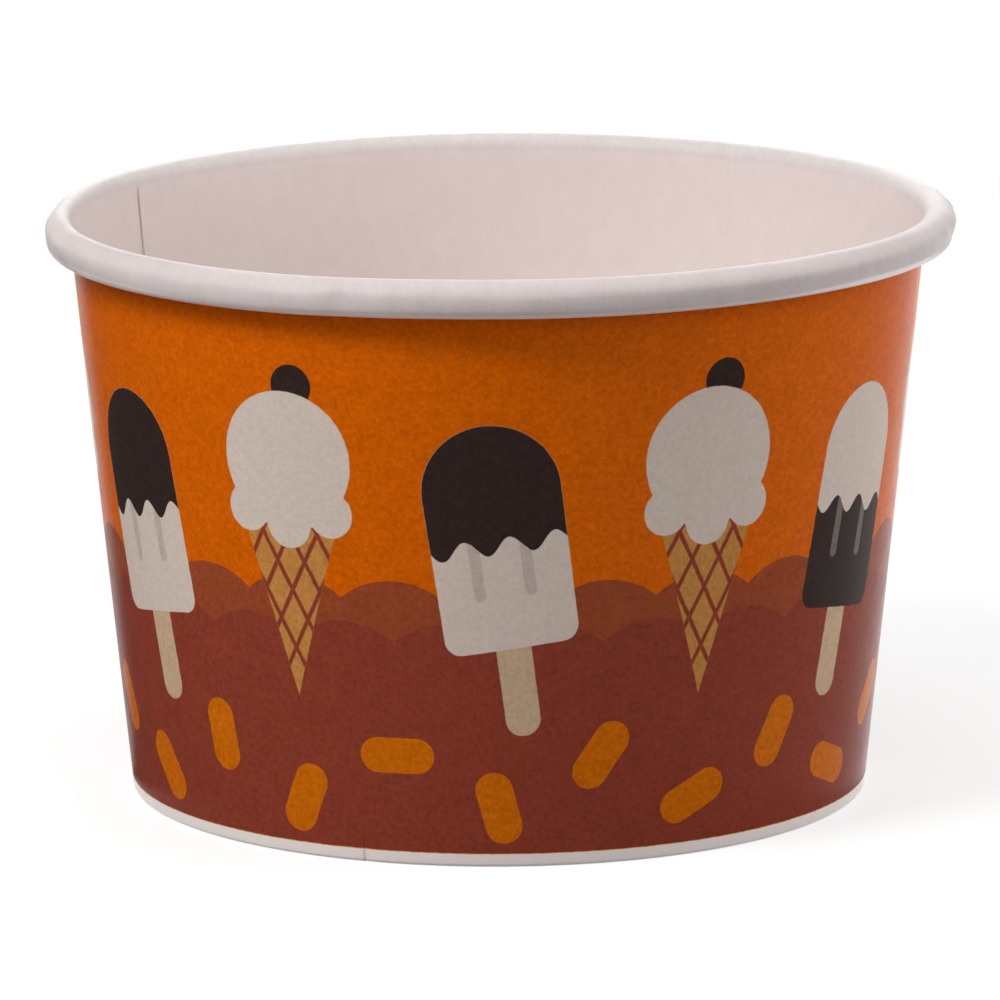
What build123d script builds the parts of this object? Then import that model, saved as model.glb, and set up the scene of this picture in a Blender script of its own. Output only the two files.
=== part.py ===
"""Paper dessert cup: a tapered cup of coated paperboard, made from two blanks.

The side wall is one fan-shaped blank. It is wrapped into a cone and sealed along a lap seam, its top edge is
rolled outwards into the rim, and its bottom edge is folded inwards and upwards as a hem. The bottom is a round
blank pressed into a shallow tray, upside down: its skirt is trapped between the wall and the hem, so the bottom
stands clear of the table. The cup stands on the fold, centred on the origin, with +Z up. Millimetres, degrees.
"""

import os
from math import asin, atan2, cos, degrees, hypot, sin

from build123d import *

# Overall sizes
rim_diameter = 96.0  # across the outside of the rolled rim
cup_height = 62.2  # table to the top of the rim
foot_diameter = 78.2  # outside of the wall where it meets the table

# Board
wall_board = 0.40  # thickness of the side blank
bottom_board = 0.35  # thickness of the bottom blank
seal_film = 0.05  # coating between two sealed faces

# Rolled rim
roll_width = 3.1  # across the roll, from the mouth outwards
roll_height = 3.9  # top of the rim to the underside of the roll
roll_gap = 0.10  # air between the lap and the end of the roll behind it

# Lap seam
seam_bearing = 149.8  # where the inside edge of the seam stands, from +X towards +Y
lap_width = 7.0  # overlap of the two ends of the blank
joggle_width = 2.4  # length over which the outer end steps out by one thickness
press_length = 1.5  # height over which the lap is pressed to one thickness, in the roll and above the fold
lap_bond = 0.05  # depth to which the doubled board grows into the single one

# Foot and bottom
recess = 6.0  # table to the underside of the bottom
fold_radius = 0.35  # outer corners of the folded foot
bend_radius = 0.60  # inside of the bottom's bend into its skirt
hem_clearance = 0.30  # edge of the hem below the bottom's bend
skirt_clearance = 0.60  # edge of the skirt above the inside of the fold

# The roll goes over the top, back under and up inside again, where it leaves room for the doubled lap
top_radius = roll_width / 2
under_radius = (roll_width - 2 * wall_board - roll_gap) / 2
roll_centre = Vector(rim_diameter / 2 - top_radius, cup_height - top_radius)

# The wall is the straight line from the foot that just touches the inside of the roll's outer turn
foot_point = Vector(foot_diameter / 2, 0)
to_roll = roll_centre - foot_point
lean = atan2(to_roll.X, to_roll.Y) - asin((top_radius - wall_board) / hypot(to_roll.X, to_roll.Y))
up_wall = Vector(sin(lean), cos(lean))
off_wall = Vector(cos(lean), -sin(lean))

# Levels along the wall
roll_level = to_roll.dot(up_wall)
under_shift = (top_radius - under_radius) * sin(lean)
roll_drop = (roll_height - top_radius - under_radius - under_shift) / cos(lean)
hem_level = recess - bend_radius - hem_clearance
skirt_level = wall_board + skirt_clearance
lap_low = skirt_level
lap_high = roll_level

# The slot in the foot that takes the bottom's skirt
skirt_slot = bottom_board + 2 * seal_film

# Bearings of the seam, from its widths at half height
middle_radius = (foot_diameter + rim_diameter) / 4
lap_bearing = seam_bearing - degrees(lap_width / middle_radius)
runout = 1 + lap_bond / wall_board / 2
joggle_bearing = seam_bearing + degrees(joggle_width * runout / middle_radius)


def at_wall(depth, level):
    """Point of the section: depth outwards from the white inside of the wall, level up along it."""
    return foot_point + off_wall * (depth - wall_board) + up_wall * level


def at_height(depth, height):
    """Point of the section at that depth, at a height above the table."""
    return at_wall(depth, (height + (depth - wall_board) * sin(lean)) / cos(lean))


def board_face(depth, floor, corner):
    """One face of the side blank as edges, from the edge of the hem to the edge hidden in the roll.

    depth is how far the face lies outside the white inside of the wall, floor the height at which it passes
    under the foot, and corner the radius of its two bends there.
    """
    hem = -(skirt_slot + depth)
    wall = FilletPolyline(
        at_wall(hem, hem_level),
        at_height(hem, floor),
        at_height(depth, floor),
        at_wall(depth, roll_level),
        radius=corner,
    )
    over = JernArc(wall @ 1, up_wall, top_radius - depth, -180)
    down = Line(over @ 1, over @ 1 - up_wall * roll_drop)
    under = JernArc(down @ 1, -up_wall, under_radius - depth, -180)
    back = Line(under @ 1, under @ 1 + up_wall * roll_drop)
    return [wall, over, down, under, back]


def board_section():
    """Section of the side blank: hem, fold, wall and roll."""
    white = board_face(0, wall_board, 0)
    printed = board_face(wall_board, 0, fold_radius)
    hem_edge = Line(white[0] @ 0, printed[0] @ 0)
    roll_edge = Line(white[-1] @ 1, printed[-1] @ 1)
    edges = [edge for path in white + printed for edge in path.edges()]
    return Plane.XZ * make_face(edges + [hem_edge, roll_edge])


def seam_section(face, near, far, bearing):
    """Section of the lap on one face of the wall, between two depths, turned to a bearing.

    Its two ends slant, because the lap is pressed to one thickness there. They cross the face at the lap's ends.
    """

    def rise(depth):
        return press_length * (depth - face) / wall_board

    outline = Polyline(
        at_wall(near, lap_low + rise(near)),
        at_wall(far, lap_low + rise(far)),
        at_wall(far, lap_high - rise(far)),
        at_wall(near, lap_high - rise(near)),
        close=True,
    )
    return Rot(0, 0, bearing) * (Plane.XZ * make_face(outline))


def step_out(face):
    """Wedge on one face of the wall beside the seam, one board thick at the seam and running out to nothing."""
    thick = seam_section(face, face - lap_bond, face + wall_board, seam_bearing)
    thin = seam_section(face, face - lap_bond, face - lap_bond / 2, joggle_bearing)
    return loft([thick, thin], ruled=True)


def side_wall():
    """Wall, roll, hem and lap seam of one blank.

    The outer end of the blank steps out by one thickness, on both its faces, and then lies on the outside of
    the inner end.
    """
    cone = revolve(board_section(), Axis.Z)
    doubled = seam_section(wall_board, wall_board - lap_bond, 2 * wall_board, lap_bearing)
    lap = revolve(doubled, Axis.Z, seam_bearing - lap_bearing)
    return cone + (lap + step_out(wall_board)) - step_out(0)


def bottom_disc():
    """Flat bottom with its skirt turned down inside the wall."""
    outside = -seal_film
    inside = outside - bottom_board
    top = recess + bottom_board
    upper = FilletPolyline(
        at_wall(outside, skirt_level),
        at_height(outside, top),
        (0, top),
        radius=bend_radius + bottom_board,
    )
    lower = FilletPolyline(
        at_wall(inside, skirt_level),
        at_height(inside, recess),
        (0, recess),
        radius=bend_radius,
    )
    skirt_end = Line(upper @ 0, lower @ 0)
    axis_line = Line(upper @ 1, lower @ 1)
    edges = upper.edges() + lower.edges() + [skirt_end, axis_line]
    return revolve(Plane.XZ * make_face(edges), Axis.Z)


os.makedirs("parts", exist_ok=True)
for node in (side_wall, bottom_disc):
    piece = node()
    export_step(piece, f"parts/{node.__name__}.step")
    print(f"{node.__name__}: {len(piece.solids())} solid, {piece.volume:.0f} mm3")
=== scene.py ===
# %% [markdown]
# # A paper dessert cup
# A cup for ice cream is made from two pieces of coated paperboard. A fan-shaped blank, printed on one
# side, is wrapped into a cone, glued along a lap seam, rolled outwards at the top and folded inwards at
# the foot. A round blank, pressed into a shallow tray, is its bottom. The CAD model already holds both as
# solids with their real sizes. This lesson dresses them: it lays the board as one continuous sheet,
# prints it and lights it.

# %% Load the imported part
import math

import bpy
import numpy as np
from mathutils import Matrix, Vector


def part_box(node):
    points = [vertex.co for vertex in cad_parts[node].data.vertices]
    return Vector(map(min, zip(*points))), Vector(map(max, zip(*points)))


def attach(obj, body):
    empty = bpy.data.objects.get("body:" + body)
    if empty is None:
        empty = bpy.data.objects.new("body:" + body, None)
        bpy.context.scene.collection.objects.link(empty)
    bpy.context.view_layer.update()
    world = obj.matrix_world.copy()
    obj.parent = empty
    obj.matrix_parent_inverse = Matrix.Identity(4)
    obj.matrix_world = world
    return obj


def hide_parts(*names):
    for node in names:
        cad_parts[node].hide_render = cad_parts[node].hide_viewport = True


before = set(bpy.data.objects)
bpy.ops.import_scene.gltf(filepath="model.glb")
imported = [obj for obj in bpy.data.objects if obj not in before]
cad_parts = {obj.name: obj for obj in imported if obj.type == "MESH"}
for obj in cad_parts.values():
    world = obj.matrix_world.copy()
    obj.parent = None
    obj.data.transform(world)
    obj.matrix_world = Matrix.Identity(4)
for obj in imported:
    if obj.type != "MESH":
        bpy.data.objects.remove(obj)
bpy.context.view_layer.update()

print("nodes in the frame:", sorted(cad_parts))

# %% [markdown]
# ## Sizes
# Paper is easier to think of in millimetres, so the shapes are worked out in them and scaled to metres
# when a mesh is made. The outer sizes are read from the frame. The sizes of the board and of its bends
# are the CAD model's own, so that the sheet lies where the solid lies.

# %% Sizes in millimetres
MM = 0.001
rim_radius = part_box("side_wall")[1].x / MM
cup_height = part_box("side_wall")[1].z / MM
tray_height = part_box("bottom_disc")[1].z / MM
foot_radius = 39.1
board = 0.40
tray_board = 0.35
film = 0.05
roll_width = 3.1
roll_height = 3.9
roll_gap = 0.10
hem_level = 5.1
skirt_level = 1.0
print(f"rim {2 * rim_radius:.1f} mm across, {cup_height:.1f} mm high, bottom at {tray_height:.2f} mm")

# %% [markdown]
# ## Drawing a section
# Cut the cup through its axis and the board shows as a long bent strip. Such a strip is drawn best the
# way a pen plotter does it: run straight, bend by an angle, run on. A point of the section is a complex
# number, radius plus height times 1j, because turning a heading is then a plain product. To the left of
# the heading lies the white side of the board and to the right the printed side.

# %% A pen for sections
class Pen:
    """Draws a section in straight runs and round bends, and keeps its points and headings."""

    def __init__(self, start, heading):
        self.points = [start]
        self.headings = [heading]

    def run(self, length, steps):
        """Go straight on."""
        start, heading = self.points[-1], self.headings[-1]
        for share in np.arange(1, steps + 1) / steps:
            self.points.append(start + heading * length * share)
            self.headings.append(heading)

    def bend(self, radius, turn, steps):
        """Turn through an angle, to the left where it is positive."""
        start, heading = self.points[-1], self.headings[-1]
        centre = start + 1j * heading * math.copysign(radius, turn)
        for share in np.arange(1, steps + 1) / steps:
            swing = np.exp(1j * turn * share)
            self.points.append(centre + (start - centre) * swing)
            self.headings.append(heading * swing)


# %% [markdown]
# ## The lean of the wall
# The wall is the straight line from the foot that touches the inside of the roll. Its angle could be
# typed in, but worked out it follows the sizes. Its direction, and the direction square to it, are all
# that the other points of the section need.

# %% Directions of the wall
top_radius = roll_width / 2
under_radius = (roll_width - 2 * board - roll_gap) / 2
roll_centre = complex(rim_radius - top_radius, cup_height - top_radius)
to_roll = roll_centre - foot_radius
lean = math.pi / 2 - np.angle(to_roll) - math.asin((top_radius - board) / abs(to_roll))
up_wall = 1j * np.exp(-1j * lean)
off_wall = -1j * up_wall
roll_level = (to_roll * up_wall.conjugate()).real
under_shift = (top_radius - under_radius) * math.sin(lean)
roll_drop = (roll_height - top_radius - under_radius - under_shift) / math.cos(lean)
skirt_slot = tray_board + 2 * film


def at_wall(depth, level):
    """Point at a depth outwards from the white face of the wall and a level up along it."""
    return foot_radius + off_wall * (depth - board) + up_wall * level


def level_at(depth, height):
    """Level up along the wall at which that depth reaches a height above the table."""
    return (height + (depth - board) * math.sin(lean)) / math.cos(lean)


print(f"the wall leans out by {math.degrees(lean):.2f} degrees")

# %% [markdown]
# ## The section of the side wall
# The pen draws the white face, from the edge of the hem under the cup, through the two creases of the
# foot, up the wall and round the roll. A solid of revolution would do for a perfect cup. Here the points
# are kept instead, because the blank overlaps itself at the seam and each layer there needs its own
# place.

# %% Draw the white face
crease = 0.05
turn_in = math.pi / 2 + lean
turn_up = math.pi / 2 - lean
cut_in = crease * math.tan(turn_in / 2)
cut_up = crease * math.tan(turn_up / 2)

pen = Pen(at_wall(-skirt_slot, hem_level), -up_wall)
pen.run(hem_level - level_at(-skirt_slot, board) - cut_in, 3)
pen.bend(crease, turn_in, 6)
pen.run(skirt_slot / math.cos(lean) - cut_in - cut_up, 1)
pen.bend(crease, turn_up, 6)
wall_start = len(pen.points) - 1
pen.run(roll_level - level_at(0, board) - cut_up, 46)
wall_end = len(pen.points) - 1
pen.bend(top_radius, -math.pi, 18)
pen.run(roll_drop, 3)
roll_outside = len(pen.points) - 1
pen.bend(under_radius, -math.pi, 14)
pen.run(roll_drop, 3)

white_path = np.array(pen.points)
to_print = -1j * np.array(pen.headings)
along = np.concatenate([[0], np.cumsum(abs(np.diff(white_path)))])
along += level_at(0, board) + cut_up - along[wall_start]
stations = len(white_path)
print(f"{stations} stations over {along[-1] - along[0]:.1f} mm of board")

# %% [markdown]
# ## The lap seam
# The blank is longer than one turn. It starts at the seam's inner edge, goes once round, steps out by one
# thickness and ends on top of its own start. Where the machine rolls the rim and presses the foot, the
# doubled board is squeezed to about one thickness, so the step fades there. Two numbers say all this at
# each place of the blank: how far the sheet has stepped out, and how thick it still is.

# %% Lay out the blank
seam_bearing = 149.8
middle_radius = (foot_radius + rim_radius) / 2
lap_width = 7.0
joggle_width = 2.4
lap_angle = math.degrees(lap_width / middle_radius)
joggle_angle = math.degrees(joggle_width / middle_radius)
press_length = 1.5
lap_press = 0.55
foot_press = 0.5
roll_press = 0.04
blank_angle = 360 + lap_angle


def smooth(share):
    """Ease from 0 to 1."""
    share = np.clip(share, 0, 1)
    return share * share * (3 - 2 * share)


crease_bearing = -110.7
at_steps = [np.linspace(-1, 1, 13) * joggle_angle + step for step in (0, lap_angle, 360)]
at_crease = seam_bearing - crease_bearing + np.linspace(-1.8, 0.6, 25)
turns = np.concatenate([np.arange(0, blank_angle, 1.0), *at_steps, at_crease, [blank_angle]])
turns = np.unique(np.round(turns[(turns >= 0) & (turns <= blank_angle)], 3))
stepped = smooth((turns - 360 + joggle_angle) / joggle_angle)
doubled = np.maximum(smooth((lap_angle + joggle_angle - turns) / joggle_angle), stepped)
pressed_foot = foot_press + (lap_press - foot_press) * smooth((along - skirt_level) / press_length)
pressed_roll = roll_press + (lap_press - roll_press) * smooth((roll_level - along) / press_length)
squeeze = np.minimum(pressed_foot, pressed_roll)

lap_film = 0.02
offset = (board + lap_film) * squeeze * stepped[:, None]
thickness = board + board * (squeeze - 1) * doubled[:, None] - lap_film * squeeze * stepped[:, None]
print(f"{len(turns)} turns of the blank, {blank_angle:.1f} degrees in all")

# %% [markdown]
# ## Handling marks
# No paper cup is a perfect turned shape. The rim of this one waves a little and stands higher in front.
# Its roll is fuller on the right, leans in at the front, and has a fine ripple and a few shallow marks,
# and its lower lip flares at the sides. The foot has one sharp crease where the fold was nipped.
# Sculpting or noise could make a cup look as used, but a mark with its own place and size can be set
# against the photograph. So these are small moves of the points by angle and height, the same for both
# layers of the seam, and the layers stay on each other.

# %% Bumps and waves round the cup
def bump_at(bearing, middle, width):
    """Bell curve over the bearings about a middle, in degrees, the short way round."""
    away = (bearing - middle + 180) % 360 - 180
    return np.exp(-((away / width) ** 2))


def bumps_at(bearing, marks):
    """Sum of bell curves, each with its middle, width and height."""
    return sum(height * bump_at(bearing, middle, width) for middle, width, height in marks)


def waves_at(swing, waves):
    """Sum of sine waves, each with its height, its count round the cup and where it starts."""
    return sum(height * np.sin(count * swing + start) for height, count, start in waves)


# %% Marks of the roll, the rim and the foot
roll_fuller = 0.48
roll_tuck = 0.20
roll_lean = 0.35
roll_swell = 0.12
roll_belly = 0.12
belly_below = 2.2
roll_fade = 0.6
roll_ripple = [(0.06, 23, 0.7), (0.05, 41, 2.0), (0.03, 59, 0.0)]
roll_marks = [(-116.0, 2.6, -0.10), (-109.6, 1.6, 0.15), (-86.0, 3.0, -0.08), (-76.6, 2.5, 0.06)]
marks_below = 0.9
marks_fade = 0.8
lip_flare = 0.22
lip_flare_right = 0.10
lip_below = 3.5
lip_width = 0.32
rim_tilt = 0.25
rim_back = 0.14
rim_waves = [(0.06, 3, 0.4), (0.04, 7, 1.1)]
rim_wobble = [(0.04, 5, 0.0)]
rim_lifts = [(-60.0, 40.0, 0.30), (-97.0, 20.0, 0.33)]
nip_depth = 0.16
nip_height = 3.0
nip_left = 0.12
nip_right = 1.2
print(f"roll up to {roll_fuller} mm fuller on one side, with {len(roll_marks)} marks in front")

# %% Bend the sheet as handling did
def handled(bearing, section):
    """Section points after handling, as radius and height."""
    swing = np.radians(bearing)
    climb = section.imag / cup_height
    below_top = cup_height - section.imag
    overhang = np.clip(((section - at_wall(0, 0)) / off_wall).real, 0, None) / roll_width
    up_roll = smooth(1 - below_top / roll_height)
    in_roll = smooth((roll_height - below_top) / roll_fade + 1)
    fuller = roll_fuller * np.cos(swing) * up_roll
    tucked = roll_tuck * np.clip(-np.cos(swing), 0, None) * (1 - up_roll)
    leaned = (roll_lean * np.clip(-np.sin(swing), 0, None) ** 2 + waves_at(swing, roll_ripple)) * up_roll
    belly = roll_belly * (below_top - belly_below) ** 2 * in_roll
    dents = bumps_at(bearing, roll_marks) * smooth((below_top - marks_below) / marks_fade) * in_roll
    lip = np.exp(-(((below_top - lip_below) / lip_width) ** 2))
    flared = (lip_flare * abs(np.cos(swing)) + lip_flare_right * np.cos(swing)) * lip
    nip_width = np.where(bearing < crease_bearing, nip_left, nip_right)
    nip = nip_depth * bump_at(bearing, crease_bearing, nip_width) * smooth(1 - section.imag / nip_height)
    moved = overhang * (roll_swell * in_roll + fuller - tucked - leaned - belly - dents + flared)
    radius = section.real + moved + waves_at(swing, rim_waves) * climb**2 - nip
    tilt = rim_tilt * np.cos(swing) + rim_back * np.sin(swing)
    tilt = tilt + waves_at(swing, rim_wobble) + bumps_at(bearing, rim_lifts)
    return radius, section.imag + tilt * climb


def placed(bearing, section):
    """Points of the cup in metres."""
    radius, height = handled(bearing, section)
    swing = np.radians(bearing)
    return np.stack([radius * np.cos(swing), radius * np.sin(swing), height], axis=-1) * MM


# %% [markdown]
# ## The sheet as a mesh
# Each turn of the blank is a closed ring of points: up the white face, over the cut edge in the roll,
# back down the printed face and over the cut edge of the hem. Rings side by side make quads. Whole arrays
# are worked out at once, because a loop over some ten thousand points would take its time.

# %% Points of the side wall
white_face = white_path + to_print * offset
print_face = white_path + to_print * (offset + thickness)
ring = np.concatenate([white_face, print_face[:, ::-1]], axis=1)
wall_points = placed((seam_bearing - turns)[:, None], ring)
rows, around = ring.shape
print(f"{rows} rings of {around} points")

# %% Quads of a grid
def quads(row, next_row, column, next_column):
    """Rows and columns of the four corners of each quad in a grid of points."""
    row, next_row = row[:, None], next_row[:, None]
    corner_rows = np.broadcast_arrays(row, next_row, next_row, row, column)[:4]
    corner_columns = np.broadcast_arrays(column, column, next_column, next_column, row)[:4]
    return [np.stack(corners, axis=-1).reshape(-1, 4) for corners in (corner_rows, corner_columns)]


each_row = np.arange(rows - 1)
each_column = np.arange(around)
body_rows, body_columns = quads(each_row, each_row + 1, each_column, (each_column + 1) % around)
print(f"{len(body_rows)} quads round the cup")

# %% [markdown]
# ## The two ends of the blank
# The first and last ring are where the blank was cut. A ladder of quads between the white and the printed
# face closes each. The first one is the thin dark line that runs down the inside of the cup.

# %% Quads of the ends
rung = np.arange(stations - 1)
ladder = np.stack([rung + 1, around - 2 - rung, around - 1 - rung, rung], axis=-1)
end_columns = np.concatenate([ladder, ladder[:, ::-1]])
end_rows = np.repeat([0, rows - 1], len(ladder))[:, None] + 0 * end_columns
wall_rows = np.concatenate([body_rows, end_rows])
wall_columns = np.concatenate([body_columns, end_columns])
wall_faces = wall_rows * around + wall_columns
print(f"{len(ladder)} quads in each cut end")

# %% [markdown]
# ## Which face is what
# A quad of the ring is white board, printed board or raw cut edge. Faces could be sorted by the way they
# look, but the roll looks every way. The column of a quad in its ring tells without fail.

# %% Finish numbers
WHITE, PRINT, EDGE = 0, 1, 2
column_finish = np.full(around, PRINT)
column_finish[: stations - 1] = WHITE
column_finish[[stations - 1, around - 1]] = EDGE
wall_numbers = np.concatenate([column_finish[body_columns[:, 0]], np.full(len(end_rows), EDGE)])
print("quads that are white, printed and raw edge:", np.bincount(wall_numbers))

# %% [markdown]
# ## A map of the flat blank
# The printer saw the blank flat, and so does the print here. Blender could unwrap the cone, but the flat
# blank is known already: the map called Blank gives each corner its distance round the cup and up the
# board, in metres. A print drawn on it follows the cone, the seam and the fold by itself.

# %% Coordinates on the blank
round_cup = np.radians(turns) * middle_radius
up_board = np.concatenate([along, along[::-1]])
wall_blank = np.stack([round_cup[wall_rows], up_board[wall_columns]], axis=-1) * MM
print(f"blank {np.ptp(round_cup):.0f} mm by {np.ptp(up_board):.0f} mm")

# %% [markdown]
# ## A map without overlaps
# Programs that want the finish as a picture need each quad to have its own place on one square. The map
# called OFBake lays the board there in long bands, each in two halves. The printed wall gets most of the
# square, the white faces less, and what hardly shows gets thin strips.

# %% Bands of the square
bands = [
    (0, wall_start, 0.012),
    (wall_start, wall_end, 0.075),
    (wall_end, roll_outside, 0.050),
    (roll_outside, stations - 1, 0.012),
    (stations - 1, stations, 0.007),
    (stations, around - 1 - wall_end, 0.012),
    (around - 1 - wall_end, around - 1 - wall_start, 0.300),
    (around - 1 - wall_start, around - 1, 0.016),
    (around - 1, around, 0.007),
]
margin = 0.003
middle_row = rows // 2
middle_ring = ring[middle_row]
first_point = middle_ring[:1]
ring_length = np.cumsum(abs(np.diff(middle_ring, append=first_point, prepend=first_point)))
corner_place = np.where(body_columns < body_columns[:, :1], around, body_columns)


def share(values, low, high):
    """How far values lie from low to high."""
    return (values - low) / (high - low)


body_map = np.zeros(body_rows.shape + (2,))
shelf = 0
for first, last, height in bands:
    for low, high in ((0, middle_row), (middle_row, rows - 1)):
        chosen = (body_columns[:, 0] >= first) & (body_columns[:, 0] < last)
        chosen &= (body_rows[:, 0] >= low) & (body_rows[:, 0] < high)
        across = share(turns[body_rows[chosen]], turns[low], turns[high])
        up = share(ring_length[corner_place[chosen]], ring_length[first], ring_length[last])
        body_map[chosen, :, 0] = margin + across * (1 - 2 * margin)
        body_map[chosen, :, 1] = shelf + margin + up * (height - margin)
        shelf += height
print(f"bands fill the square to {shelf:.3f}")

# %% Strips for the cut ends
end_height = 0.006
end_across = margin + share(up_board[end_columns], along[0], along[-1]) * (1 - 2 * margin)
end_strip = shelf + margin + (end_rows > 0) * (end_height + margin)
end_up = end_strip + (end_columns < stations) * end_height
wall_bake = np.concatenate([body_map, np.stack([end_across, end_up], axis=-1)])
print(f"highest place on the square: {wall_bake.max():.3f}")

# %% [markdown]
# ## From arrays to an object
# One helper turns points, faces, maps and finish numbers into a mesh object. Face by face in bmesh would
# do as well, but whole arrays are quicker to hand over. Faces are shaded smooth, and an edge where two
# finishes meet is kept sharp: that is the crisp cut of the board.

# %% Make the mesh
def sheet_object(name, points, faces, maps, numbers, finishes):
    """Mesh object with named maps of its corners and one finish number a face."""
    mesh = bpy.data.meshes.new(name)
    mesh.from_pydata(points.reshape(-1, 3).tolist(), [], faces)
    for finish in finishes:
        mesh.materials.append(finish)
    mesh.polygons.foreach_set("material_index", numbers.astype(np.int32))
    mesh.polygons.foreach_set("use_smooth", np.ones(len(faces), bool))
    for map_name, corners in maps.items():
        mesh.uv_layers.new(name=map_name).uv.foreach_set("vector", corners.astype(np.float32).ravel())
    corner_edges = np.empty(len(mesh.loops), np.int32)
    mesh.loops.foreach_get("edge_index", corner_edges)
    corner_numbers = np.repeat(numbers, [len(face) for face in faces])
    lowest = np.full(len(mesh.edges), len(finishes))
    highest = np.full(len(mesh.edges), -1)
    np.minimum.at(lowest, corner_edges, corner_numbers)
    np.maximum.at(highest, corner_edges, corner_numbers)
    mesh.attributes.new("sharp_edge", "BOOLEAN", "EDGE").data.foreach_set("value", lowest != highest)
    made = bpy.data.objects.new(name, mesh)
    bpy.context.scene.collection.objects.link(made)
    print(f"{name}: {len(faces)} faces, {int((lowest != highest).sum())} sharp edges")
    return made


# %% [markdown]
# ## Writing shaders as sums
# A printed pattern is arithmetic on the blank's coordinates. In the node editor that is hundreds of Math
# nodes to wire by hand. A small class wraps a socket instead, so that a sum or product in Python adds its
# node, and one method makes any other node from its type, its settings and its sockets.

# %% A value in a shader
class Ink:
    """A socket of a shader that takes part in Python sums."""

    def __init__(self, tree, socket=None):
        self.tree = tree
        self.socket = socket

    def node(self, kind, settings=None, sockets=None, out=0):
        """Add a node: first its settings, then the values or links of its sockets."""
        made = self.tree.nodes.new(kind)
        for name, value in (settings or {}).items():
            setattr(made, name, value)
        for name, value in (sockets or {}).items():
            if isinstance(value, Ink):
                self.tree.links.new(value.socket, made.inputs[name])
            else:
                made.inputs[name].default_value = value
        return Ink(self.tree, made.outputs[out] if made.outputs else None)

    def also(self, out):
        """Another output of the same node."""
        return Ink(self.tree, self.socket.node.outputs[out])

    def math(self, operation, *values):
        return self.node("ShaderNodeMath", {"operation": operation}, dict(enumerate(values)))

    def __add__(self, other):
        return self.math("ADD", self, other)

    def __radd__(self, other):
        return self.math("ADD", other, self)

    def __sub__(self, other):
        return self.math("SUBTRACT", self, other)

    def __rsub__(self, other):
        return self.math("SUBTRACT", other, self)

    def __mul__(self, other):
        return self.math("MULTIPLY", self, other)

    def __rmul__(self, other):
        return self.math("MULTIPLY", other, self)

    def __truediv__(self, other):
        return self.math("DIVIDE", self, other)

    def __rtruediv__(self, other):
        return self.math("DIVIDE", other, self)

    def __pow__(self, other):
        return self.math("POWER", self, other)

    def __rpow__(self, other):
        return self.math("POWER", other, self)

    def __abs__(self):
        return self.math("ABSOLUTE", self)

    def least(self, other):
        return self.math("MINIMUM", self, other)

    def most(self, other):
        return self.math("MAXIMUM", self, other)

    def sine(self):
        return self.math("SINE", self)

    def cosine(self):
        return self.math("COSINE", self)

    def repeat(self, period):
        """The same value counted from the middle of each repeat."""
        return self.math("WRAP", self, period / 2, -period / 2)

    def ease(self, low, high):
        """0 at low, 1 at high, smooth between."""
        return self.node(
            "ShaderNodeMapRange",
            {"interpolation_type": "SMOOTHSTEP"},
            {"Value": self, "From Min": low, "From Max": high},
        )


# %% [markdown]
# ## Colours and grain
# A Math node would turn a colour grey, so colours are laid over each other by a Mix node and scaled by a
# Vector Math node. The unevenness of paper is noise, stretched where the fibres lie along one direction.

# %% Colours and vectors
def paint(under, over, mask):
    """Lay one colour over another where the mask is 1."""
    return mask.node("ShaderNodeMix", {"data_type": "RGBA"}, {0: mask, 6: under, 7: over}, out=2)


def shade(colour, factor):
    """Colour times a value."""
    start = colour if isinstance(colour, Ink) else colour[:3]
    return factor.node("ShaderNodeVectorMath", {"operation": "SCALE"}, {0: start, "Scale": factor})


def grain(place, scale, detail, stretch=(1, 1, 1), rough=0.5):
    """Noise about 0, with features of 1 / scale metres and as many halvings of it as the detail says."""
    long = place.node("ShaderNodeVectorMath", {"operation": "MULTIPLY"}, {0: place, 1: stretch})
    sockets = {"Vector": long, "Scale": scale, "Detail": detail, "Roughness": rough}
    return long.node("ShaderNodeTexNoise", {}, sockets) - 0.5


# %% [markdown]
# ## Board as a finish
# Coated board is a matt white sheet with a thin skin of plastic. Close up, its fibres make the skin
# uneven: a fine grain, longer along the direction in which the board was made, and soft clouds some
# millimetres wide. The same fibres lie under the ink, so one helper gives every finish its bump and its
# uneven gloss.

# %% Shared look of coated board
def board_shader(ink, colour, place, rough, fibre, index, folds=None, coat=0.0):
    """Surface of coated board over a colour, ended with the material's output."""
    fine_grain = grain(place, 3200, 2, (1, 0.45, 1))
    soft_grain = grain(place, 420, 2)
    relief = fine_grain * 0.6 + soft_grain * 0.4
    if folds:
        relief = relief + folds
    bump = ink.node("ShaderNodeBump", {}, {"Strength": fibre, "Distance": 0.05 * MM, "Height": relief})
    skin = ink.node(
        "ShaderNodeBsdfPrincipled",
        {},
        {
            "Base Color": colour,
            "Roughness": rough + soft_grain * 0.12,
            "IOR": index,
            "Normal": bump,
            "Coat Weight": coat,
            "Coat Roughness": 0.3,
        },
    )
    return ink.node("ShaderNodeOutputMaterial", {}, {"Surface": skin})


def new_finish(name):
    """Empty material, and a value to start its sums from."""
    finish = bpy.data.materials.new(name)
    finish.use_nodes = True
    finish.node_tree.nodes.clear()
    return finish, Ink(finish.node_tree)


def blank_place(ink):
    """Place on the blank as a vector, in metres."""
    return ink.node("ShaderNodeUVMap", {"uv_map": "Blank"})
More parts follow.
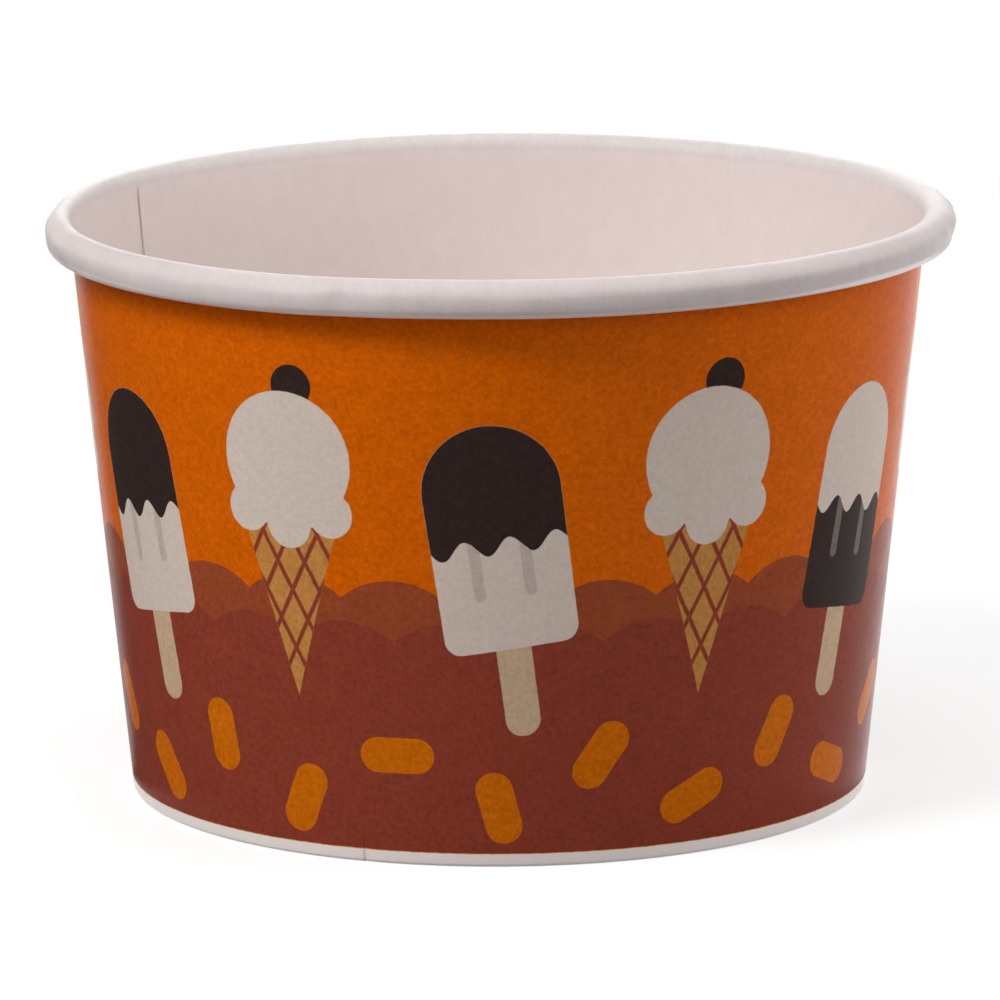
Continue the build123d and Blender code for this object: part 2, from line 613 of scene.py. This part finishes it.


# %% [markdown]
# ## The white face
# The inside is plain white board. In the roll it is a little greyer and finely creased. The top of the
# roll at the sides of the front gets a greyer white as painted shade, and its far side a lighter white as
# painted light. Its lower lip, a little glossy, gets a lighter white as painted light that stands in for
# light from below, most at the sides and not at the right end. One flat white would do from afar, but a
# rim is what the eye meets first.

# %% White face
board_white = (0.76, 0.667, 0.640, 1.0)
rolled_white = (0.622, 0.548, 0.537, 1.0)
# Painted light: a lighter white for the far side of the roll.
far_painted_light_white = (0.655, 0.605, 0.590, 1.0)
# Painted shade: a greyer white for the top of the roll at the sides of the front.
painted_side_shade_white = (0.540, 0.476, 0.466, 1.0)
# Painted light: a lighter white on the roll's lower lip, standing in for light thrown up from below.
lip_painted_light = (0.84, 0.74, 0.72, 1.0)
lip_level = roll_level + math.pi * top_radius + roll_drop
lip_wider = 0.45
lip_fades = 0.92
lip_gone = 0.985
lip_gloss = 0.6
# How far along the roll the painted shade at the sides reaches.
painted_side_shade_high = 4.4
painted_side_shade_low = 2.4
cloud_depth = 0.18
rolled_clouds = 0.16


def clouded(colour, place, depth):
    """Colour of white board with its faint clouds and fibres."""
    return shade(colour, 1 + grain(place, 350, 4, (1, 0.6, 1), 0.9) * depth)


def inside_finish():
    """White side of the blank, greyer and creased in the roll, with painted shade and painted light
    there.
    """
    finish, ink = new_finish("coated white board")
    place = blank_place(ink)
    flat = place.node("ShaderNodeSeparateXYZ", {}, {"Vector": place})
    up = flat.also("Y") / MM
    in_roll = (up - roll_level).ease(-0.6, 0.8)
    creases = grain(place, 620, 3, (1, 0.22, 1), 0.7) * in_roll * 3.0
    bearing = math.radians(seam_bearing) - flat / MM / middle_radius
    sideways = bearing.cosine()
    at_side = abs(sideways).ease(0.55, 0.85)
    # Painted light on the lower lip, wider at the sides and fading out at the right end. The same mask
    # also sets the lip's coat.
    lip = (up - lip_level + at_side * lip_wider).ease(0.3, 0.7)
    lip = lip * sideways.ease(lip_gone, lip_fades)
    # The front of the roll keeps the greyer white, and its far side gets the painted light.
    in_front = bearing.sine().ease(0.3, -0.3)
    # Painted shade on the top of the roll at the sides of the front.
    painted_side_shade = at_side * (up - roll_level).ease(painted_side_shade_high, painted_side_shade_low)
    rolled = paint(far_painted_light_white, paint(rolled_white, painted_side_shade_white, painted_side_shade), in_front)
    colour = paint(board_white, rolled, in_roll)
    # Lay the painted light on the lower lip.
    colour = paint(colour, lip_painted_light, lip)
    colour = clouded(colour, place, cloud_depth + rolled_clouds * in_roll)
    gloss = lip * lip_gloss
    board_shader(ink, colour, place, rough=0.40, fibre=0.3, index=1.18, folds=creases, coat=gloss)
    return finish


white_board = inside_finish()
print("finish:", white_board.name)

# %% [markdown]
# ## Cut edges
# Where the board was cut, its core shows: no coating, a little warmer and rough, with the plies as fine
# lines. It shows at the seam inside, at the hem and at the skirt, less than half a millimetre wide, so
# one finish serves all of them.

# %% Raw edge
core_colour = (0.76, 0.67, 0.60, 1.0)
edge_board, ink = new_finish("cut edge of the board")
place = blank_place(ink)
core = grain(place, 5200, 3, (0.3, 1, 1))
core_shaded = shade(core_colour, 1 + core * 0.3)
board_shader(ink, core_shaded, place, rough=0.8, fibre=0.4, index=1.1)
print("finish:", edge_board.name)

# %% [markdown]
# ## The print
# The outside is printed in a few flat inks: orange above, two browns below, and a row of large cream and
# dark shapes. Shapes like these are described best by a distance: negative inside, positive outside, zero
# on the outline. The smaller of two distances joins shapes, the larger cuts one by the other, and a soft
# step at zero turns a distance into a mask for an ink.

# %% Distances to simple shapes
def disc(x, y, radius):
    """Distance to a disc about the origin."""
    return (x * x + y * y) ** 0.5 - radius


def bar(x, y, half_width, half_height, corner):
    """Distance to an upright bar with round corners."""
    beyond_x = (abs(x) - (half_width - corner)).most(0)
    beyond_y = (abs(y) - (half_height - corner)).most(0)
    return disc(beyond_x, beyond_y, corner)


def inked(distance):
    """Mask of a shape, with the small softness of an ink's edge."""
    return distance.ease(0.06, -0.06)


# %% [markdown]
# ## Places of the motifs
# Twelve motifs stand round the cup, ices on a stick and wafer cones by turns, so that each is as wide as
# the pitch allows and the row closes without a gap. Every third ice is dark with a light dip, the others
# are light with a dark dip. A repeat of the coordinate draws them all with the nodes of one.

# %% Inks and pitch
# The bare band's white is lighter than the white face inside, partly as painted light standing in for
# light thrown up from the ground.
bare_board = (0.95, 0.85, 0.82, 1.0)
ochre_ink = (0.70, 0.36, 0.10, 1.0)
orange_ink = (0.685, 0.122, 0.001, 1.0)
near_brown = (0.273, 0.049, 0.027, 1.0)
far_brown = (0.317, 0.066, 0.024, 1.0)
cream_ink = (0.69, 0.575, 0.50, 1.0)
dark_ink = (0.037, 0.022, 0.019, 1.0)
wafer_ink = (0.56, 0.245, 0.06, 1.0)
stick_ink = (0.60, 0.42, 0.27, 1.0)
bean_ink = (0.64, 0.150, 0.003, 1.0)
band_height = 1.4
motifs = 12
circumference = 2 * math.pi * middle_radius
pitch = circumference / motifs
front = (seam_bearing + 90) / 360 * circumference
motif_height = 35.0
print(f"one motif every {pitch:.1f} mm, the first at {front:.1f} mm from the seam")

# %% [markdown]
# ## Fields and beans
# The print stops a little above the foot with a thin ochre line, and below it the board is bare. Orange
# fills the upper half. The browns below end upwards in scallops, rows of discs over a straight field.
# Orange beans lie on the brown, and a noise of their number turns each its own way, the same in every
# run.

# %% Fields of colour
scallop_width = pitch / 2
scallop_radius = 9.0
scallop_fill = 2.5
far_height = 21.5
near_height = 17.0


def scallops(x, y, height):
    """Distance to a field that ends upwards in a row of discs."""
    return disc(x.repeat(scallop_width), y - height, scallop_radius).least(y - (height + scallop_fill))


def fields(x, y):
    """Orange above, two rows of brown scallops below, bare board at the foot."""
    far = scallops(x, y, far_height)
    near = scallops(x + scallop_width / 2, y, near_height)
    colour = paint(bare_board, ochre_ink, (y - band_height).ease(-0.05, 0.05))
    above = (y - band_height - 0.10).ease(-0.05, 0.05)
    colour = paint(colour, orange_ink, above)
    colour = paint(colour, far_brown, inked(far) * above)
    return paint(colour, near_brown, inked(near) * above)


# %% Beans of colour on the brown
bean_rows = [(0.0, 6.4), (0.5, 11.8)]
bean_long = 3.9
bean_wide = 1.9


def beans(colour, x, y):
    """Two staggered rows of orange beans, each turned its own way."""
    for shift, height in bean_rows:
        count = x / pitch + shift + 0.5
        cell = x.math("WRAP", x.math("FLOOR", count), motifs, 0)
        chance = x.node("ShaderNodeTexWhiteNoise", {"noise_dimensions": "1D"}, {"W": cell + 40 * shift})
        swing = chance * math.pi
        narrow = (foot_radius + height * math.sin(lean)) / middle_radius
        across = (x + shift * pitch).repeat(pitch) * narrow
        cosine = swing.cosine()
        sine = swing.sine()
        long = across * cosine + (y - height) * sine
        wide = (y - height) * cosine - across * sine
        colour = paint(colour, bean_ink, inked(bar(long, wide, bean_long, bean_wide, bean_wide)))
    return colour


# %% [markdown]
# ## Ices on a stick
# A bar with a round top, a stick below it, a dip that covers the upper half down to a wavy line, and two
# grooves. Curves laid on the wall could show the same, but then the print would stand proud of the board.
# The whole is tilted a little, light ices one way and dark ones the other. The tilt is a small rotation
# of the coordinates before any distance is taken.

# %% Draw the ices
ice_tilt = math.radians(8)
ice_half = 7.2
dip_wave = 4.8
groove_share = 0.22


def ices(colour, x, y):
    """Light ices with a dark dip, and every third one the other way round."""
    dark = x.math("LESS_THAN", abs((x - 2 * pitch).repeat(6 * pitch)), pitch)
    slope = (dark * 2 - 1) * math.sin(ice_tilt)
    across = x.repeat(2 * pitch)
    wide = across * math.cos(ice_tilt) - (y - motif_height) * slope
    tall = across * slope + (y - motif_height) * math.cos(ice_tilt)
    body = disc(wide, tall - 5.0, ice_half).least(bar(wide, tall + 3.0, ice_half, 8.6, 1.7))
    stick = bar(wide, tall + 15.0, 1.9, 6.0, 1.8)
    dip_line = (wide * (2 * math.pi / dip_wave)).sine() * 0.9 - 0.6
    groove = bar(abs(wide) - 2.7, tall - 0.6, 0.6, 6.8, 0.55)
    body_ink = paint(cream_ink, dark_ink, dark)
    dip_ink = paint(dark_ink, cream_ink, dark)
    colour = paint(colour, stick_ink, inked(stick))
    colour = paint(colour, body_ink, inked(body))
    colour = paint(colour, dip_ink, inked(groove) * groove_share)
    return paint(colour, dip_ink, inked(body) * inked(dip_line - tall))


# %% [markdown]
# ## Wafer cones
# A cone is what lies below two slanting lines. Two sets of slanting stripes across it make the waffle.
# The scoop is a disc whose lower edge drips over the wafer in three smaller discs. With distances, such a
# shape is a few lines, and its edge stays crisp however close the camera comes.

# %% Draw the cones
cone_slant = math.radians(17)
waffle_across = 0.88
waffle_up = 0.47
waffle_pitch = 2.9
waffle_half = 0.24


def cones(colour, x, y):
    """Cones between the ices."""
    across = (x - pitch).repeat(2 * pitch)
    rise = y - motif_height
    sides = abs(across) * math.cos(cone_slant) - (rise + 17.5) * math.sin(cone_slant)
    wafer = sides.most(rise - 3.0)
    left = abs((across * waffle_across + rise * waffle_up).repeat(waffle_pitch)) - waffle_half
    right = abs((across * waffle_across - rise * waffle_up).repeat(waffle_pitch)) - waffle_half
    scoop = disc(across, rise - 7.6, 7.4)
    side_drip = disc(abs(across) - 4.9, rise - 2.2, 2.5)
    scoop = scoop.least(side_drip).least(disc(across, rise - 0.9, 2.6))
    cherry = disc(across - 1.2, rise - 15.6, 2.3)
    colour = paint(colour, wafer_ink, inked(wafer))
    colour = paint(colour, near_brown, inked(wafer) * inked(left.least(right)))
    colour = paint(colour, dark_ink, inked(cherry))
    return paint(colour, cream_ink, inked(scoop))


# %% [markdown]
# ## Ink on board
# Ink lies thin and uneven on board. Seen close, a flat colour is a fine speckle, with soft clouds some
# millimetres across, and the varnish over it has a slight gloss. The speckle moves the colour only a
# little, but without it the print would look like plastic. The bare band at the foot has no ink to dull
# it, so it gets a glossy coat. The nipped crease shows on it as a thin grey line, part crack in the
# coating and part painted shade of the crease.

# %% Crack and painted shade at the foot
# Grey of the line along the nipped crease: part crack in the coating, part painted shade.
crack_and_shade_grey = (0.42, 0.36, 0.33, 1.0)
crack_and_shade_strength = 0.2
crease_place = math.radians(seam_bearing - crease_bearing) * middle_radius


def crack_and_shade_line(colour, along_foot, y):
    """Thin grey line where the foot was nipped: part crack, part painted shade of the crease."""
    beside = abs(along_foot - crease_place + (y - 0.7) * 0.15)
    return paint(colour, crack_and_shade_grey, beside.ease(0.16, 0.03) * y.ease(1.6, 1.2) * crack_and_shade_strength)


print(f"crack at {crease_place:.1f} mm from the seam")

# %% Printed face
def printed_finish():
    """Print on the outside of the blank, bare board along the foot."""
    finish, ink = new_finish("printed board")
    place = blank_place(ink)
    flat = place.node("ShaderNodeSeparateXYZ", {}, {"Vector": place})
    wander = grain(place, 900, 2) * 0.12
    x = front - flat / MM + wander
    y = flat.also("Y") / MM + wander
    colour = cones(ices(beans(fields(x, y), x, y), x, y), x, y)
    colour = crack_and_shade_line(colour, flat / MM, y)
    blue = ink.node("ShaderNodeSeparateColor", {}, {"Color": colour}, out="Blue")
    mottle = grain(place, 350, 4, (1, 1, 1), 0.9) * 0.55 + grain(place, 1500, 2, (1, 1, 1), 0.9) * 0.9
    bare = y.ease(band_height + 0.1, band_height - 0.1)
    colour = shade(colour, 1 + mottle * (1 - 1.25 * blue).most(0))
    board_shader(ink, colour, place, rough=0.26, fibre=0.3, index=1.075, coat=bare)
    return finish


printed_board = printed_finish()
print("nodes in the print:", len(printed_board.node_tree.nodes))

# %% [markdown]
# ## The side wall
# Now the sheet and its finishes come together. It rides on the cup's one body and stands for the CAD
# solid of the same blank, which is hidden.

# %% Set up the side wall
cup_wall = sheet_object(
    "side_wall_board",
    wall_points,
    wall_faces.tolist(),
    {"OFBake": wall_bake, "Blank": wall_blank},
    wall_numbers,
    [white_board, printed_board, edge_board],
)
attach(cup_wall, "root")
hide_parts("side_wall")

# %% [markdown]
# ## The bottom
# The bottom is a tray pressed upside down, its skirt sealed between the wall and the hem. Its section is
# drawn with the same pen, from the middle outwards and down, and turned round the axis. Pressing leaves
# faint pleats where the round blank had to shrink into the skirt, and lets the middle sag a little.

# %% Draw the tray
bend_radius = 0.60 + tray_board
tray_turn = math.pi / 2 + lean
tray_cut = bend_radius * math.tan(tray_turn / 2)
tray_level = level_at(-film, tray_height)
hub = 0.6
tray_pen = Pen(hub + tray_height * 1j, 1 + 0j)
tray_pen.run(at_wall(-film, tray_level).real - hub - tray_cut, 24)
tray_pen.bend(bend_radius, -tray_turn, 10)
tray_pen.run(tray_level - skirt_level - tray_cut, 6)
tray_path = np.array(tray_pen.points)
tray_down = tray_path - 1j * np.array(tray_pen.headings) * tray_board
tray_ring = np.concatenate([tray_path, tray_down[::-1]])
tray_along = hub + np.concatenate([[0], np.cumsum(abs(np.diff(tray_path)))])
tray_stations = len(tray_path)
print(f"tray {2 * tray_path.real.max():.1f} mm across, from a blank of {2 * tray_along[-1]:.1f} mm")

# %% Turn it round the axis
sectors = 180
pleat_depth = 0.02
pleat_count = 36
sag = 0.12
tray_bearings = -np.arange(sectors)[:, None] * 360 / sectors
flat_part = 1 - smooth(share(tray_ring.real, 0.55 * foot_radius, 0.95 * foot_radius))
pleats = pleat_depth * np.sin(pleat_count * np.radians(tray_bearings)) * (1 - flat_part)
tray_section = tray_ring - sag * 1j * flat_part - pleats
tray_points = placed(tray_bearings, tray_section)
each_sector = np.arange(sectors)
each_spot = np.arange(len(tray_ring) - 1)
tray_rows, tray_columns = quads(each_sector, (each_sector + 1) % sectors, each_spot, each_spot + 1)
hub_loop = np.arange(sectors) * len(tray_ring)
tray_faces = (tray_rows * len(tray_ring) + tray_columns).tolist()
tray_faces += [hub_loop[::-1].tolist(), (hub_loop + len(tray_ring) - 1).tolist()]
print(f"{len(tray_faces)} faces in the tray")

# %% [markdown]
# ## Maps of the round blank
# Laid flat, the bottom is a disc, so each of its two sides is a circle on the square, set corner to
# corner. Strips would fill the square better, but in a circle the grain runs on across the middle.

# %% Coordinates of the tray
ABOVE, BELOW, RAW = 0, 1, 2
tray_numbers = np.where(tray_columns[:, 0] < tray_stations - 1, ABOVE, BELOW)
tray_numbers[tray_columns[:, 0] == tray_stations - 1] = RAW
tray_numbers = np.append(tray_numbers, [ABOVE, BELOW])
tray_out = np.concatenate([tray_along, tray_along[::-1]])
tray_flat = tray_out * np.exp(1j * np.radians(tray_bearings))
face_rows = np.concatenate([tray_rows.ravel(), each_sector[::-1], each_sector])
last_spot = len(tray_ring) - 1
face_columns = np.concatenate([tray_columns.ravel(), 0 * each_sector, 0 * each_sector + last_spot])
corner_flat = tray_flat[face_rows, face_columns]
hub_numbers = np.repeat([ABOVE, BELOW], sectors)
corner_numbers = np.concatenate([np.repeat(tray_numbers[:-2], 4), hub_numbers])
tray_blank = np.stack([corner_flat.real, corner_flat.imag], axis=-1) * MM
circle = 0.28 / tray_along[-1]
edge_push = np.where((corner_numbers == RAW) & (face_columns >= tray_stations), 1.02, 1.0)
centres = np.where(corner_numbers == BELOW, 0.71 + 0.29j, 0.29 + 0.71j)
corner_bake = centres + corner_flat * circle * edge_push
tray_bake = np.stack([corner_bake.real, corner_bake.imag], axis=-1)
print(f"the tray's map reaches from {tray_bake.min():.3f} to {tray_bake.max():.3f}")

# %% [markdown]
# ## The bottom as a piece
# The bottom's board is coated above, where the ice lies, and bare below. So it has two finishes and the
# raw edge of its skirt, and it rides on the same body as the wall.

# %% Set up the bottom
def tray_finish(name, rough, fibre):
    """One side of the bottom."""
    finish, ink = new_finish(name)
    place = blank_place(ink)
    board_shader(ink, clouded(board_white, place, cloud_depth), place, rough, fibre, index=1.1)
    return finish


coated_tray = tray_finish("coated bottom board", 0.46, 0.3)
bare_tray = tray_finish("uncoated bottom board", 0.7, 0.5)
cup_bottom = sheet_object(
    "bottom_board",
    tray_points,
    tray_faces,
    {"OFBake": tray_bake, "Blank": tray_blank},
    tray_numbers,
    [coated_tray, bare_tray, edge_board],
)
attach(cup_bottom, "root")
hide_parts("bottom_disc")

# %% [markdown]
# ## Floor and surroundings
# The cup stands on a plain white ground that fades into a white background. A floor bright enough to look
# white would light the cup from below, so the white is shown only to rays that look at it: from the
# camera, and from glossy or clear surfaces. To the light itself the floor is a pale sheet, and a share of
# that shows too, so the cup's shadow stays.

# %% White for those who look
def looked_at(ink):
    """1 for rays that show the surroundings, 0 for those that light the cup."""
    path = ink.node("ShaderNodeLightPath")
    return path.most(path.also("Is Glossy Ray")).most(path.also("Is Transmission Ray"))


def glow(ink, strength):
    """White light of a strength."""
    return ink.node("ShaderNodeEmission", {}, {"Color": (1, 1, 1, 1), "Strength": strength})


# %% Floor
floor_half = 2.0
floor_grey = 0.35
floor_glow = 0.70
white_from = 0.06
white_by = 0.40
floor_corners = [(-1, -1), (1, -1), (1, 1), (-1, 1)]
floor_mesh = bpy.data.meshes.new("floor")
floor_mesh.from_pydata([(x * floor_half, y * floor_half, 0.0) for x, y in floor_corners], [], [range(4)])
floor_finish, ink = new_finish("pale floor")
pale = ink.node("ShaderNodeBsdfDiffuse", {}, {"Color": (floor_grey, floor_grey, floor_grey, 1)})
near_white = ink.node("ShaderNodeAddShader", {}, {0: pale, 1: glow(ink, floor_glow)})
position = ink.node("ShaderNodeNewGeometry")
away = ink.node("ShaderNodeVectorMath", {"operation": "LENGTH"}, {0: position}, out="Value")
far_off = away.ease(white_from, white_by)
shown = ink.node("ShaderNodeMixShader", {}, {0: far_off, 1: near_white, 2: glow(ink, 1.0)})
lit_floor = ink.node("ShaderNodeMixShader", {}, {0: looked_at(ink), 1: pale, 2: shown})
ink.node("ShaderNodeOutputMaterial", {}, {"Surface": lit_floor})
floor_mesh.materials.append(floor_finish)
floor = bpy.data.objects.new("floor", floor_mesh)
bpy.context.scene.collection.objects.link(floor)
print(f"floor {2 * floor_half} m wide, white from {white_by} m outwards")

# %% [markdown]
# ## The room
# Above the floor the same holds: rays that look see white, and those that light the cup meet a dark room,
# because the lamps alone are to shape it.

# %% World
ambient = 0.0
world = bpy.data.worlds.new("white room")
world.use_nodes = True
world.node_tree.nodes.clear()
bpy.context.scene.world = world
ink = Ink(world.node_tree)
room = ink.node("ShaderNodeBackground", {}, {"Color": (1, 1, 1, 1), "Strength": ambient})
backdrop = ink.node("ShaderNodeBackground", {}, {"Color": (1, 1, 1, 1), "Strength": 1.0})
mixed = ink.node("ShaderNodeMixShader", {}, {0: looked_at(ink), 1: room, 2: backdrop})
ink.node("ShaderNodeOutputWorld", {}, {"Surface": mixed})
print(f"world light of {ambient}")

# %% [markdown]
# ## Cards in the gloss
# At its two edges a varnished wall mirrors the ground beside and behind it. Photographers steer that with
# cards. A white one on the right lays a pale edge on the cup. A dark one on the left, cut slanting,
# leaves only the ground behind the cup to be mirrored, so the sheen there is narrow. Only glossy rays
# meet these cards, so they light nothing, cast no shadow and stay out of every view.

# %% Cards
card_front = -0.2
card_back = 0.5
card_side = 0.48
card_inner = 0.040


def card(name, side, back_inner, strength):
    """Card on the floor to one side of the cup, met only by glossy rays."""
    outline = [
        (card_inner, card_front),
        (card_inner, 0.0),
        (back_inner, card_back),
        (card_side, card_back),
        (card_side, card_front),
    ]
    mesh = bpy.data.meshes.new(name)
    mesh.from_pydata([(side * x, y, 0.5 * MM) for x, y in outline], [], [range(len(outline))])
    finish, ink = new_finish(name)
    ink.node("ShaderNodeOutputMaterial", {}, {"Surface": glow(ink, strength)})
    mesh.materials.append(finish)
    made = bpy.data.objects.new(name, mesh)
    made.visible_camera = False
    made.visible_diffuse = False
    made.visible_transmission = False
    made.visible_shadow = False
    bpy.context.scene.collection.objects.link(made)
    print(f"{name}: strength {strength}")


card("dark card", -1, 0.30, 0.1)
card("white card", 1, card_inner, 1.5)

# %% [markdown]
# ## Studio light
# Seven soft lamps light the cup, each a square turned towards it. Two stand to the left of the camera and
# give the wall its fall from light to dark, and a weak one fills from the front. One hangs above and
# throws the soft shadow under the roll. Two wide ones on the right, one of them low, keep that side open,
# and one behind lifts the far rim. One big lamp would be simpler, but it can't give the roll its bright
# top and dark belly at once.

# %% Soft boxes
middle = Vector((0, 0, cup_height / 2 * MM))


def direction(azimuth, elevation):
    """Unit vector from the cup, with azimuth 0 towards the camera and positive to the right."""
    a, e = math.radians(azimuth), math.radians(elevation)
    return Vector((math.sin(a) * math.cos(e), -math.cos(a) * math.cos(e), math.sin(e)))


def soft_box(name, azimuth, elevation, distance, size, watts):
    """Square lamp that looks at the cup."""
    lamp = bpy.data.lights.new(name, "AREA")
    lamp.size = size
    lamp.energy = watts
    box = bpy.data.objects.new(name, lamp)
    box.location = middle + direction(azimuth, elevation) * distance
    box.rotation_euler = direction(azimuth, elevation).to_track_quat("Z", "Y").to_euler()
    bpy.context.scene.collection.objects.link(box)
    print(f"{name}: {watts} W at {distance} m")


soft_box("left lamp", -72, 32, 0.7, 0.20, 0.96)
soft_box("front lamp", -47, 47, 0.7, 0.20, 2.62)
soft_box("top lamp", -30, 85, 0.7, 0.40, 1.50)
soft_box("fill lamp", 0, 30, 0.7, 0.40, 0.72)
soft_box("right lamp", 92, 30, 0.8, 0.70, 2.44)
soft_box("low lamp", 92, 8, 0.8, 0.50, 2.00)
soft_box("back lamp", 180, 25, 0.8, 0.50, 1.60)

# %% [markdown]
# ## Camera
# The photograph was taken with a long lens from a little above the rim, so the cup hardly narrows with
# distance. The camera stands there, slightly rolled. Turning it would change the angle at which the cup
# is seen, so a small shift of the picture puts the cup where the photograph has it.

# %% Camera
lens_mm = 301.2
camera_distance = 0.890
camera_elevation = 11.69
camera_roll = -0.19
camera_data = bpy.data.cameras.new("camera")
camera_data.lens = lens_mm
camera_data.shift_x = 0.0019
camera_data.shift_y = -0.0068
camera = bpy.data.objects.new("camera", camera_data)
towards = direction(0, camera_elevation)
facing = towards.to_track_quat("Z", "Y").to_matrix().to_4x4()
rolled = Matrix.Rotation(math.radians(camera_roll), 4, "Z")
camera.matrix_world = Matrix.Translation(middle + towards * camera_distance) @ facing @ rolled
bpy.context.scene.collection.objects.link(camera)
bpy.context.scene.camera = camera
bpy.context.scene.view_settings.view_transform = "Standard"
print(f"camera {camera_distance} m away, {camera_elevation} degrees up")
